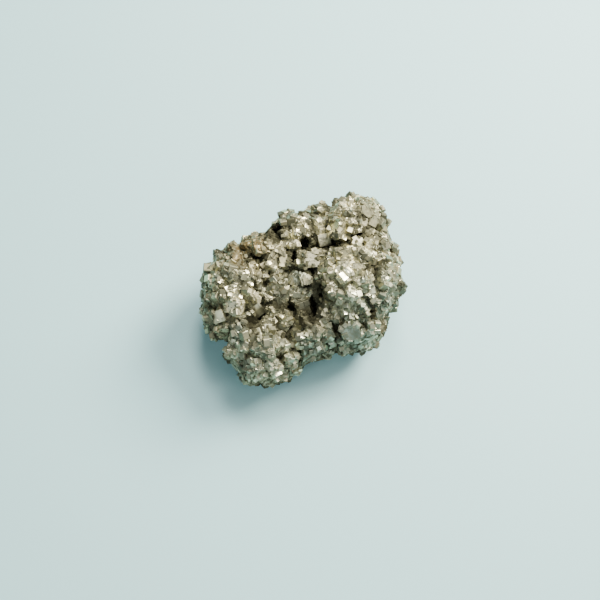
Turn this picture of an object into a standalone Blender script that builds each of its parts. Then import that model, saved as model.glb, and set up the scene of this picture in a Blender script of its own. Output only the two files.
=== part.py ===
"""Pyrite specimen: one cluster of pyrite crystals grown together, which rests on a small flat spot.

Run it with: blender --background --python part.py

The cluster is a single solid. Rounded lumps of massive pyrite give its form. Crystals
with flat faces cover each lump, and a few large ones stand out by themselves. Everything
is united, opened up by pits and crevices, cut off flat underneath and cleared of sealed
pockets.
Units are millimetres until a point goes into a mesh, which holds metres.
"""

import math
import random
from itertools import combinations
from typing import NamedTuple

import bmesh
import bpy
import numpy as np
from mathutils import Euler, Quaternion, Vector

MM = 0.001

# The cluster measures about 36 mm from left to right and rests on a flat spot at the origin.
# The massive pyrite stays this far under the surface of each lump.
CORE_INSET = 0.9

# Crystals stand closer together on the upper side than below LOWER_HEIGHT.
UPPER_SPACING = 3.6
LOWER_SPACING = 4.8
LOWER_HEIGHT = 5.0
LOWEST_CRYSTAL = 1.4

# A crystal's half width is a share of the spacing, and its depth a share of the half width.
HALF_WIDTH_SHARE = (0.38, 0.6)
SINK_SHARE = 0.95
STRAY = 0.2
PYRITOHEDRON_SHARE = 0.17

# No crystal is made where it would be this deep in another lump, or this near a large crystal.
BURIED = 0.8
BLOCK_ROOM_SHARE = 0.72

CUTTER_SIZE = 80.0
BRASS_GREY = (0.50, 0.47, 0.36, 1.0)
GOLDEN_ANGLE = math.pi * (3 - math.sqrt(5))
AREA_POWER = 1.6
TOLERANCE = 1e-6


class Lump(NamedTuple):
    """A rounded mass: its centre and its half widths along X, Y and Z."""

    centre: tuple
    radii: tuple


class Block(NamedTuple):
    """A large crystal: its place seen from above, its width, how far it leans about X and Y
    and is spun about its own upright, in degrees, and the share of its width that it rises
    above the lump that carries it.
    """

    x: float
    y: float
    width: float
    lean_x: float = 18
    lean_y: float = 0
    spin: float = 0
    rise: float = 0.25
    form: str = "cube"


class Hollow(NamedTuple):
    """A pit or a crevice: its centre, its half widths and its spin about its own length."""

    centre: tuple
    radii: tuple
    spin: float = 0


LUMPS = {
    "right": Lump((9.7, 0.9, 11.0), (7.4, 7.4, 8.4)),
    "right_back": Lump((12.2, 5.8, 10.2), (4.4, 4.9, 6.9)),
    "upper_right": Lump((9.5, 11.4, 10.4), (5.5, 5.1, 7.3)),
    "top_back": Lump((3.2, 11.4, 8.8), (4.2, 3.8, 6.0)),
    "top": Lump((-1.1, 9.5, 8.8), (4.6, 4.5, 6.4)),
    "right_shoulder": Lump((6.4, 1.3, 14.9), (3.3, 4.0, 2.7)),
    "ridge": Lump((0.4, 3.6, 9.6), (3.1, 3.9, 5.8)),
    "inner_back": Lump((5.0, 4.4, 9.4), (3.0, 2.9, 5.6)),
    "inner_right": Lump((6.3, -4.0, 8.8), (3.5, 4.2, 6.0)),
    "inner_front": Lump((-0.2, -1.7, 8.6), (2.3, 2.4, 4.3)),
    "middle": Lump((-4.4, -0.3, 8.4), (4.3, 3.6, 5.4)),
    "middle_low": Lump((-4.3, -4.2, 7.6), (3.7, 3.2, 4.8)),
    "upper_left": Lump((-6.4, 5.2, 9.0), (5.4, 5.0, 6.7)),
    "upper_left_far": Lump((-11.4, 3.9, 8.6), (4.3, 4.1, 5.8)),
    "left": Lump((-11.6, 0.3, 9.3), (5.6, 5.7, 6.9)),
    "left_low": Lump((-12.8, -3.9, 7.6), (4.7, 4.6, 5.3)),
    "lower_left": Lump((-7.5, -10.1, 7.6), (5.5, 5.4, 6.2)),
    "lower_left_tip": Lump((-5.2, -11.5, 6.8), (4.3, 4.1, 5.2)),
    "lower_middle": Lump((1.4, -7.6, 7.4), (5.2, 4.2, 6.2)),
    "lower_right": Lump((9.1, -4.9, 8.2), (5.5, 5.4, 6.9)),
    "centre": Lump((-1.5, -0.5, 4.9), (9.5, 8.5, 4.7)),
    "foot": Lump((-0.3, 0.2, 2.0), (7.8, 7.0, 4.2)),
}

BLOCKS = {
    "centre_block": Block(1.6, 4.1, 2.8, 16, 6, 8, 0.35),
    "centre_low_block": Block(-1.0, 1.0, 2.3, 12, -20, 52, 0.3),
    "centre_low_right_block": Block(0.5, 0.9, 2.2, 8, 14, 20, 0.35),
    "pit_block": Block(0.0, -3.5, 2.3, 30, 14, 24, 0.35),
    "upper_right_block": Block(6.9, 9.4, 3.3, 16, 38, 4, 0.3),
    "left_white_block": Block(-14.4, -5.3, 2.1, 30, -20, 10, 0.3),
    "left_streak_block": Block(-11.7, -3.9, 2.6, 22, -30, 62, 0.25),
    "left_grey_block": Block(-9.6, -5.3, 2.8, 42, 18, 32, 0.3),
    "lower_left_block": Block(-6.5, -10.8, 2.6, 34, 16, 12, 0.2),
    "tip_right_block": Block(-2.2, -12.4, 2.4, 50, 34, 15, 0.2),
    "tip_bright_block": Block(-5.0, -13.8, 2.2, 40, -6, 38, 0.2),
    "lower_middle_block": Block(-2.8, -6.0, 2.4, 28, -12, 50, 0.3),
    "lower_left_pale_block": Block(-10.4, -8.0, 2.7, 16, -16, 24, 0.3),
    "lower_right_block": Block(8.4, -8.1, 3.0, 44, 6, 28, 0.2),
    "lower_right_white_block": Block(12.0, -7.4, 2.1, 46, 26, 8, 0.25),
    "right_bright_block": Block(7.4, 0.4, 2.3, 26, -14, 40, 0.25),
    "right_edge_block": Block(14.2, -0.2, 2.6, 24, 34, 12, 0.2),
    "upper_right_bright_block": Block(12.0, 6.2, 2.6, 24, 22, 25, 0.25),
    "top_rim_block": Block(-2.3, 12.0, 2.6, -34, -10, 18, 0.1),
    "back_rim_block": Block(3.6, 13.6, 2.5, -40, 8, 40, 0.15),
}

# The hollows run down and back at this angle from the upright.
HOLLOW_LEAN = 18
HOLLOWS = {
    "upper_pit": Hollow((0.45, 7.5, 13.4), (1.25, 1.7, 4.4)),
    "upper_crevice": Hollow((6.0, 7.0, 12.8), (2.0, 1.0, 3.8), -8),
    "upper_side_pit": Hollow((10.1, 8.4, 15.2), (1.1, 0.75, 2.6)),
    "middle_crevice_back": Hollow((1.6, 2.4, 13.9), (1.8, 0.7, 3.6), -42),
    "middle_crevice": Hollow((3.2, -0.8, 12.9), (0.85, 2.1, 4.6), 12),
    "middle_crevice_front": Hollow((2.0, -3.9, 11.0), (1.1, 2.3, 4.2), -4),
    "front_pit": Hollow((-1.8, -3.6, 10.6), (1.1, 0.95, 3.2)),
    "left_crevice": Hollow((-7.6, -5.2, 10.4), (2.2, 0.9, 3.6), 42),
    "back_valley": Hollow((-1.4, 4.9, 13.2), (0.8, 1.9, 2.8)),
    "upper_left_pit": Hollow((-8.2, 4.8, 14.4), (1.4, 0.8, 2.2), -10),
    "rim_valley": Hollow((-4.2, 10.4, 12.4), (1.4, 1.4, 3.2)),
    "right_low_pit": Hollow((11.6, -5.5, 14.2), (1.2, 0.75, 2.2), 24),
}


def face_normals(form):
    """The outward normals of a crystal form: 6 for a cube and 12 for a pyritohedron."""
    normals = []
    for axis in range(3):
        for sign in (1, -1):
            for side in (0,) if form == "cube" else (1, -1):
                normal = np.zeros(3)
                normal[axis] = 2 * sign
                normal[(axis + 1) % 3] = side
                normals.append(normal / np.linalg.norm(normal))
    return np.array(normals)


def form_corners(form):
    """The corners of the solid that planes at distance 1 along the form's normals enclose."""
    normals = face_normals(form)
    corners = set()
    for trio in combinations(normals, 3):
        planes = np.array(trio)
        if abs(np.linalg.det(planes)) < TOLERANCE:
            continue
        corner = np.linalg.solve(planes, np.ones(3))
        if (normals @ corner < 1 + TOLERANCE).all():
            corners.add(tuple(np.round(corner, 6)))
    return [Vector(corner) for corner in sorted(corners)]


FORMS = {form: form_corners(form) for form in ("cube", "pyritohedron")}


def add_crystal(shape, form, centre, turn, half_width):
    """Adds one closed crystal to shape, as the hull of its corners."""
    corners = [centre + turn @ corner * half_width for corner in FORMS[form]]
    points = [shape.verts.new(corner * MM) for corner in corners]
    bmesh.ops.convex_hull(shape, input=points, use_existing_faces=False)


def depth_in(lump, point):
    """How far a point lies outside a lump's surface, roughly, and below zero inside."""
    scaled = Vector((p - c) / r for p, c, r in zip(point, lump.centre, lump.radii))
    return (scaled.length - 1) * min(lump.radii)


def top_of_cluster(x, y):
    """The highest point of the lumps above x, y."""
    heights = [0.0]
    for lump in LUMPS.values():
        across = ((x - lump.centre[0]) / lump.radii[0]) ** 2
        along = ((y - lump.centre[1]) / lump.radii[1]) ** 2
        if across + along < 1:
            rise = lump.radii[2] * math.sqrt(1 - across - along)
            heights.append(lump.centre[2] + rise)
    return max(heights)


def block_centre(block):
    """A large crystal's middle, sunk into the lump that carries it by all but its rise."""
    sink = block.width * (0.5 - block.rise)
    return Vector((block.x, block.y, top_of_cluster(block.x, block.y) - sink))


def block_turn(block):
    """A large crystal's rotation: spun about its own upright first and then leant over."""
    angles = [math.radians(a) for a in (block.lean_x, block.lean_y, block.spin)]
    lean = Euler((angles[0], angles[1], 0)).to_matrix()
    return lean @ Euler((0, 0, angles[2])).to_matrix()


def random_turn(chance):
    """A rotation drawn evenly from all rotations."""
    return Quaternion([chance.gauss(0, 1) for _ in range(4)]).normalized().to_matrix()


def spiral_directions(lump, chance):
    """Directions spread evenly over the lump on a golden spiral, fewer to its lower side."""
    x_y, x_z, y_z = ((a * b) ** AREA_POWER for a, b in combinations(lump.radii, 2))
    area = 4 * math.pi * ((x_y + x_z + y_z) / 3) ** (1 / AREA_POWER)
    start = chance.uniform(0, 2 * math.pi)
    for spacing, keeps_upper in ((UPPER_SPACING, True), (LOWER_SPACING, False)):
        count = round(area / spacing**2)
        for step in range(count):
            height = 1 - 2 * (step + 0.5) / count
            ring = math.sqrt(1 - height**2)
            angle = start + step * GOLDEN_ANGLE
            way = Vector((ring * math.cos(angle), ring * math.sin(angle), height))
            is_upper = lump.centre[2] + height * lump.radii[2] > LOWER_HEIGHT
            if is_upper == keeps_upper:
                yield way, spacing


def is_clear(point, own_name):
    """True where a crystal would show: not in another lump, a large crystal or the floor."""
    if point.z < LOWEST_CRYSTAL:
        return False
    others = (lump for name, lump in LUMPS.items() if name != own_name)
    if any(depth_in(lump, point) < -BURIED for lump in others):
        return False
    return all(
        (point - block_centre(block)).length > BLOCK_ROOM_SHARE * block.width
        for block in BLOCKS.values()
    )


def add_lump_crystals(shape, name, lump):
    """Covers one lump with crystals that are turned every way and half sunk into it."""
    chance = random.Random(name)
    for way, spacing in spiral_directions(lump, chance):
        surface = Vector(c + w * r for c, w, r in zip(lump.centre, way, lump.radii))
        half_width = spacing * chance.uniform(*HALF_WIDTH_SHARE)
        stray = Vector(chance.gauss(0, STRAY) for _ in range(3))
        is_cube = chance.random() > PYRITOHEDRON_SHARE
        turn = random_turn(chance)
        if is_clear(surface, name):
            centre = surface - way * half_width * SINK_SHARE + stray
            form = "cube" if is_cube else "pyritohedron"
            add_crystal(shape, form, centre, turn, half_width)


def make_crystals():
    """All the crystals, still as separate closed shells that run into each other."""
    shape = bmesh.new()
    for name, lump in LUMPS.items():
        add_lump_crystals(shape, name, lump)
    for block in BLOCKS.values():
        turn = block_turn(block)
        add_crystal(shape, block.form, block_centre(block), turn, block.width / 2)
    return new_object("crystals", shape)


def make_core():
    """The massive pyrite under the crystals: a faceted ball for each lump."""
    shape = bmesh.new()
    for name, lump in LUMPS.items():
        turn = random_turn(random.Random(name + " core"))
        subdivisions = 2 if max(lump.radii) > 5 else 1
        made = bmesh.ops.create_icosphere(shape, subdivisions=subdivisions, radius=1)
        for vert in made["verts"]:
            way = turn @ vert.co
            point = [c + w * (r - CORE_INSET) for c, w, r in zip(lump.centre, way, lump.radii)]
            vert.co = Vector(point) * MM
    return new_object("pyrite_cluster", shape)


def make_hollows():
    """The pits and crevices as angular balls, drawn out along their lean."""
    shape = bmesh.new()
    lean = Euler((math.radians(HOLLOW_LEAN), 0, 0)).to_matrix()
    for hollow in HOLLOWS.values():
        turn = lean @ Euler((0, 0, math.radians(hollow.spin))).to_matrix()
        made = bmesh.ops.create_icosphere(shape, subdivisions=1, radius=1)
        for vert in made["verts"]:
            reach = Vector(v * r for v, r in zip(vert.co, hollow.radii))
            vert.co = (Vector(hollow.centre) + turn @ reach) * MM
    return new_object("hollows", shape)


def make_floor_cutter():
    """A block whose top face is the plane that the cluster rests on."""
    shape = bmesh.new()
    bmesh.ops.create_cube(shape, size=CUTTER_SIZE * MM)
    bmesh.ops.translate(shape, verts=shape.verts, vec=(0, 0, -CUTTER_SIZE / 2 * MM))
    return new_object("floor_cutter", shape)


def new_object(name, shape):
    """Puts a bmesh into a new object of the scene."""
    mesh = bpy.data.meshes.new(name)
    shape.to_mesh(mesh)
    shape.free()
    made = bpy.data.objects.new(name, mesh)
    bpy.context.scene.collection.objects.link(made)
    return made


def make_helper(helper):
    """Keeps a cutter or an operand out of the render."""
    helper.hide_render = True
    helper.display_type = "WIRE"


def add_boolean(target, operation, other, overlaps=False):
    """An exact Boolean with a helper object. With overlaps, operands may run into themselves."""
    make_helper(other)
    step = target.modifiers.new(operation.lower(), "BOOLEAN")
    step.operation = operation
    step.solver = "EXACT"
    step.use_self = overlaps
    step.object = other


def keep_outer_surface(mesh):
    """Removes the walls of pockets that crystals sealed off, which are separate islands."""
    shape = bmesh.new()
    shape.from_mesh(mesh)
    left = set(shape.faces)
    islands = []
    while left:
        front = [left.pop()]
        island = list(front)
        while front:
            near = {face for edge in front.pop().edges for face in edge.link_faces}
            near &= left
            left -= near
            front.extend(near)
            island.extend(near)
        islands.append(island)
    islands.sort(key=len)
    loose = [face for island in islands[:-1] for face in island]
    bmesh.ops.delete(shape, geom=loose, context="FACES")
    shape.to_mesh(mesh)
    shape.free()


def brass_grey():
    """Pale brass metal with a grey cast."""
    material = bpy.data.materials.new("pyrite")
    material.use_nodes = True
    surface = material.node_tree.nodes["Principled BSDF"]
    surface.inputs["Base Color"].default_value = BRASS_GREY
    surface.inputs["Metallic"].default_value = 0.95
    surface.inputs["Roughness"].default_value = 0.32
    return material


def make_cluster():
    """Unites the core with its crystals, hollows it out and cuts it off at the floor."""
    cluster = make_core()
    add_boolean(cluster, "UNION", make_crystals(), overlaps=True)
    add_boolean(cluster, "DIFFERENCE", make_hollows(), overlaps=True)
    add_boolean(cluster, "DIFFERENCE", make_floor_cutter())
    graph = bpy.context.evaluated_depsgraph_get()
    solid = bpy.data.meshes.new_from_object(cluster.evaluated_get(graph))
    keep_outer_surface(solid)
    cluster.modifiers.clear()
    cluster.data = solid
    cluster.data.materials.clear()
    cluster.data.materials.append(brass_grey())


for leftover in list(bpy.data.objects):
    bpy.data.objects.remove(leftover)
make_cluster()
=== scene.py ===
"""The looks of a pyrite specimen, laid out as an add-on and run as a script.

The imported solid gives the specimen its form, and the massive pyrite keeps its facets. Nine
large crystals stand where the solid has them, and eight lesser ones in crevices and where the
light glints. Smaller crystals and grains cover the rest.
Lengths are in millimetres until corners go into a mesh, which holds metres.
"""

import math
from functools import lru_cache
from itertools import combinations, product
from typing import NamedTuple

import bmesh
import bpy
import numpy as np
from bpy.props import FloatProperty, FloatVectorProperty, IntProperty, PointerProperty
from mathutils import Euler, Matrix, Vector


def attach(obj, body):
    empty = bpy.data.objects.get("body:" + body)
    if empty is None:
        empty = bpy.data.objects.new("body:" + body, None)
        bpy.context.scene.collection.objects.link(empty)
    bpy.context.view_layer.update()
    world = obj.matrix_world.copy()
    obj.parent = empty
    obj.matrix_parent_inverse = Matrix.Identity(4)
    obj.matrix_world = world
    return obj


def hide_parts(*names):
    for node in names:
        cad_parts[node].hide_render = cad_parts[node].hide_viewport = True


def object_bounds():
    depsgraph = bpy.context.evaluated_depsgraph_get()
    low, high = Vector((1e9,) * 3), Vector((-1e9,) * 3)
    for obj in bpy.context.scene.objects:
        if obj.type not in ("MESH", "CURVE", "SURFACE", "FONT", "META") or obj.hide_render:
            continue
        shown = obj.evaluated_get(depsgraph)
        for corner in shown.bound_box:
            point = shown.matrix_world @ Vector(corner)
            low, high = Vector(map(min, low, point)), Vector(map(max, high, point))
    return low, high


bl_info = {
    "name": "Pyrite specimen",
    "version": (1, 0, 0),
    "blender": (4, 5, 0),
    "location": "3D View > Sidebar > Pyrite",
    "description": "Covers a lump of pyrite with crystals, gives it its finish and lights it",
    "category": "Add Mesh",
}

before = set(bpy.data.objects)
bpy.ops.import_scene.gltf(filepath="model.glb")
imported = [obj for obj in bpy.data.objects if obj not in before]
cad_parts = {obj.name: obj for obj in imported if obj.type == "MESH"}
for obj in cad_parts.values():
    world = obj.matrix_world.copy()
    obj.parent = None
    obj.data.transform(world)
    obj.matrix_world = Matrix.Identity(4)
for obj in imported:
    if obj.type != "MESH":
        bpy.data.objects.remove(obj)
CAD_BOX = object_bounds()

MM = 0.001
NODE = "pyrite_cluster"

# Reading the solid. Triangles whose normals differ by less than FLAT_ANGLE are in one plane.
MERGE_DISTANCE = 1e-6
FLAT_ANGLE = math.radians(0.1)
TOLERANCE = 1e-6
DECIMALS = 6

# The height map, and how far from a point the horizon is looked for.
HEIGHT_CELL = 0.4
HEIGHT_MARGIN = 8.0
HEIGHT_SAMPLES = 400_000
SKY_WAYS = 12
SKY_REACHES = (0.8, 1.4, 2.2, 3.4, 5.0, 7.0)

# Crystal forms, as shares of the half width: the cube's chamfer and the distance of the bevels.
CHAMFER = 0.1
BEVEL_DISTANCE = 1.24

# Where crystals grow. They stay over the floor, and near the solid's box.
PLACES_DRAWN = 6
FACET_TO_KEEP = 2.0
ON_BARE_FACET = 0.15
FLOOR_GAP = 0.03
BOX_MARGIN = 0.3

# How a crystal lies: its stretch along each axis, its tilt if it is parallel to the facet, how
# far it rises as a share of its width, and the most that it may rise.
STRETCH = (0.8, 1.2)
MOSAIC_TILT = math.radians(5)
PARALLEL_RISE = (0.08, 0.35)
TURNED_RISE = (0.2, 0.55)
RISE_MOST = 0.44

# Crystals are smaller in hollows and gaps, and lower in gaps and on walls, whose normals have
# a Z under STEEP.
SMALLER_IN_HOLLOW = 0.45
SMALLER_IN_GAP = 0.2
LOWER_IN_GAP = 0.6
STEEP = 0.4
ON_STEEP = 0.75

# Bare facets have a rise mark in this range, which keeps the painted shade of the gaps off
# them, so they are as bright as crystals.
BARE_RISE = (0.3, 0.6)
UV_SHIFT = 50.0
PIECE_TRIANGLES = 190_000


class Block(NamedTuple):
    """A large crystal: its middle, its width, its lean about X and Y, its spin and its tone.

    A tone of 0 is bright and takes most of the painted highlight colour, and 1 is dull.
    """

    x: float
    y: float
    z: float
    width: float
    lean_x: float
    lean_y: float
    spin: float
    tone: float


class Hollow(NamedTuple):
    """A pit or a crevice: its centre, its half widths and its spin about its own length."""

    centre: tuple
    radii: tuple
    spin: float = 0


class Solid(NamedTuple):
    """The solid: corners, triangles and their facets, and each facet's normal, edge and area."""

    corners: np.ndarray
    triangles: np.ndarray
    owner: np.ndarray
    normal: np.ndarray
    along: np.ndarray
    area: np.ndarray


class Spots(NamedTuple):
    """Places on the solid: points, the facet's normal, its long edge's direction and its number."""

    point: np.ndarray
    normal: np.ndarray
    along: np.ndarray
    facet: np.ndarray

    def pick(self, chosen):
        """The chosen places only."""
        return Spots(*(column[chosen] for column in self))


class Form(NamedTuple):
    """A crystal of half width 1: its corners, its triangles, and UV for each triangle's corners."""

    corners: np.ndarray
    triangles: np.ndarray
    uv: np.ndarray


class Light(NamedTuple):
    """A soft square light: its place and its side in metres, its share of the power, its tint."""

    place: tuple
    size: float
    share: float
    tint: tuple


BLOCKS = {
    "centre": Block(1.6, 4.1, 14.48, 2.8, 16, 6, 8, 0.0),
    "centre_low_right": Block(0.5, 0.9, 13.45, 2.2, 8, 14, 20, 0.2),
    "pit": Block(0.0, -3.5, 11.07, 2.3, 30, 14, 24, 0.9),
    "upper_right": Block(6.9, 9.4, 15.5, 3.3, 16, 38, 4, 0.25),
    "left_white": Block(-14.4, -5.3, 11.9, 2.1, 30, -20, 10, 0.0),
    "left_streak": Block(-11.7, -3.9, 13.31, 2.6, 22, -30, 62, 0.0),
    "left_grey": Block(-9.6, -5.3, 10.57, 2.8, 42, 18, 32, 1.0),
    "lower_left": Block(-6.5, -10.8, 12.86, 2.6, 34, 16, 12, 0.9),
    "lower_right": Block(8.4, -8.1, 12.79, 3.0, 44, 6, 28, 0.9),
    "crevice_step": Block(3.9, 8.2, 13.5, 2.1, 22, 6, 14, 0.8),
    "left_step": Block(-7.7, -3.9, 10.6, 2.1, 26, -8, 36, 0.7),
    "middle_step": Block(2.7, -0.7, 12.2, 1.6, 10, -14, 20, 1.0),
    "right_bright": Block(7.0, -0.6, 18.9, 1.5, -6, 22, 40, 0.0),
    "right_bright_back": Block(8.1, 0.4, 19.2, 1.2, -10, 16, 12, 0.1),
    "right_bright_side": Block(6.1, 0.5, 18.8, 1.1, 1, 26, 66, 0.1),
    "right_low_bright": Block(7.6, -5.3, 14.3, 1.7, -4, 20, 15, 0.0),
    "tip_bright": Block(-4.6, -14.9, 9.0, 1.4, -4, 22, 30, 0.0),
}

HOLLOW_LEAN = 18
HOLLOWS = {
    "upper_pit": Hollow((0.45, 7.5, 13.4), (1.25, 1.7, 4.4)),
    "upper_crevice": Hollow((6.0, 6.3, 12.8), (2.0, 1.0, 3.8), -8),
    "upper_side_pit": Hollow((10.1, 8.4, 15.2), (1.1, 0.75, 2.6)),
    "middle_crevice_back": Hollow((1.6, 2.4, 13.9), (1.8, 0.7, 3.6), -42),
    "middle_crevice": Hollow((3.2, -0.8, 12.9), (0.85, 2.1, 4.6), 12),
    "middle_crevice_front": Hollow((2.0, -3.9, 11.0), (1.1, 2.3, 4.2), -4),
    "front_pit": Hollow((-1.8, -3.6, 10.6), (1.1, 0.95, 3.2)),
    "left_crevice": Hollow((-7.6, -5.2, 10.4), (2.2, 0.9, 3.6), 42),
    "back_valley": Hollow((-1.4, 4.9, 13.2), (0.8, 1.9, 2.8)),
    "upper_left_pit": Hollow((-8.2, 4.8, 14.4), (1.4, 0.8, 2.2), -10),
    "rim_valley": Hollow((-4.2, 10.4, 12.4), (1.4, 1.4, 3.2)),
    "right_low_pit": Hollow((11.6, -5.5, 14.2), (1.2, 0.75, 2.2), 24),
}
# A hollow's mark fades from its wall outwards, in half widths. In the finish it paints shade,
# with dirt, and crystals there are smaller.
HOLLOW_FADE = (0.9, 1.5)
# How much the listed pits add to the painted shade and dirt.
HOLLOW_DIRT = 0.6

# A large crystal's faces: cells along a side, the chamfer as a share of the half width, how far
# they stand over the solid's, how near them a point has to be to lie on them, and the share of
# a face that smaller crystals stay off.
BLOCK_GRID = 18
BLOCK_CHAMFER = 0.035
BLOCK_SWELL = 0.03
BLOCK_SLACK = 0.05
BLOCK_OPEN = 0.84

# Terraces on a face: how many, the most that one rises, and the ranges of their middles, half
# widths and share of that rise, on a face that goes from -1 to 1.
TERRACES = 3
TERRACE_STEP = 0.006
TERRACE_MIDDLE = (-0.6, 0.6)
TERRACE_REACH = (0.2, 0.9)
TERRACE_SHARE = (0.4, 1.0)

# Each size of crystals: the share of each form, and what it adds to the seed.
COVERS = {
    "medium": ({"chamfered": 0.5, "bevelled": 0.3, "pyritohedron": 0.2}, 2),
    "fine": ({"chamfered": 0.5, "cube": 0.35, "pyritohedron": 0.15}, 3),
    "grain": ({"cube": 1.0}, 4),
}

# Each surface: growth lines per millimetre, and the heights of lines and grain in metres.
RELIEFS = {
    "massive_pyrite": (9.0, 1.2e-5, 1.2e-5),
    "large_crystal": (7.0, 0.4e-5, 0.4e-5),
    "medium_crystal": (10.0, 0.8e-5, 0.3e-5),
    "fine_crystal": (14.0, 0.5e-5, 0.2e-5),
    "grain": (20.0, 0.2e-5, 0.2e-5),
}

# Each noise: scale, detail and roughness.
NOISES = {
    "patches": (0.24, 3.0, 0.55),
    "specks": (1.7, 4.0, 0.65),
    "grain": (5.0, 3.0, 0.5),
    "lines": (1.0, 3.0, 0.6),
    "fading": (0.8, 1.0, 0.5),
}

# Ranges that the finish moves values through: from low to high, and what these become where
# that isn't 0 and 1. Those of SPECKS break up a tint's patches.
COLOURS = ("fresh", "grey", "clean", "tarnish", "green", "ochre", "dirt")
DULLNESS = (0.5, 1.3)
# Crystals of low tone take the painted highlight colour.
BRIGHT_TONES = (0.05, 0.3, 0.7, 0.0)
SPECKS = {
    "clean": (0.36, 0.54),
    "green": (0.3, 0.6),
    "ochre": (0.38, 0.56),
    "tarnish": (0.25, 0.55, 0.78, 1.0),
}
# The hollow mark's range that becomes painted shade with dirt.
DIRT_DEPTHS = (0.68, 1.1, 0.0, 0.95)
# Painted shade in the gaps: corners low on a crystal are darker.
GAP_RISES = (-0.05, 0.32, 0.62, 0.0)
# Less of the painted gap shade at the painted highlights.
GAP_ON_CLEAN = (0.0, 1.0, 1.0, 0.6)
FROSTED_METAL = (0.0, 1.0, 0.96, 0.25)
LINES_FADE = (0.35, 0.6)

# What a full share of each adds to the dullness, the depth, the frosting and the roughness.
TONE_DULLS = 0.9
SPECKS_DEEPEN = 0.35
# The painted highlights are frosted, so less metallic.
CLEAN_FROSTS = 0.6
ROUGHENS = {"specks": 0.14, "tone": 0.12, "clean": 0.15, "tarnish": 0.5, "dull": 0.35}

AIM = Vector((-0.35, -1.86, 10.0)) * MM
FLOOR_HALF = 0.6
FLOOR_ROUGHNESS = 0.6
SKY_TINT = (0.70, 0.88, 0.97)
SENSOR_WIDTH = 36.0
NEAREST_SEEN = 0.01

LIGHTS = {
    "key_light": Light((0.21, 0.16, 0.22), 0.17, 1.0, (1.0, 0.955, 0.87)),
    "back_light": Light((0.02, 0.19, 0.30), 0.1, 0.28, (1.0, 0.98, 0.94)),
    "top_light": Light((0.10, 0.03, 0.45), 0.25, 0.1, (1.0, 0.98, 0.95)),
    "right_light": Light((0.24, -0.15, 0.20), 0.12, 0.05, (1.0, 0.99, 0.96)),
    "left_light": Light((-0.15, -0.19, 0.27), 0.14, 0.08, (0.80, 0.95, 1.0)),
    "front_light": Light((0.08, -0.30, 0.12), 0.08, 0.02, (0.88, 0.98, 1.0)),
}

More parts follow.
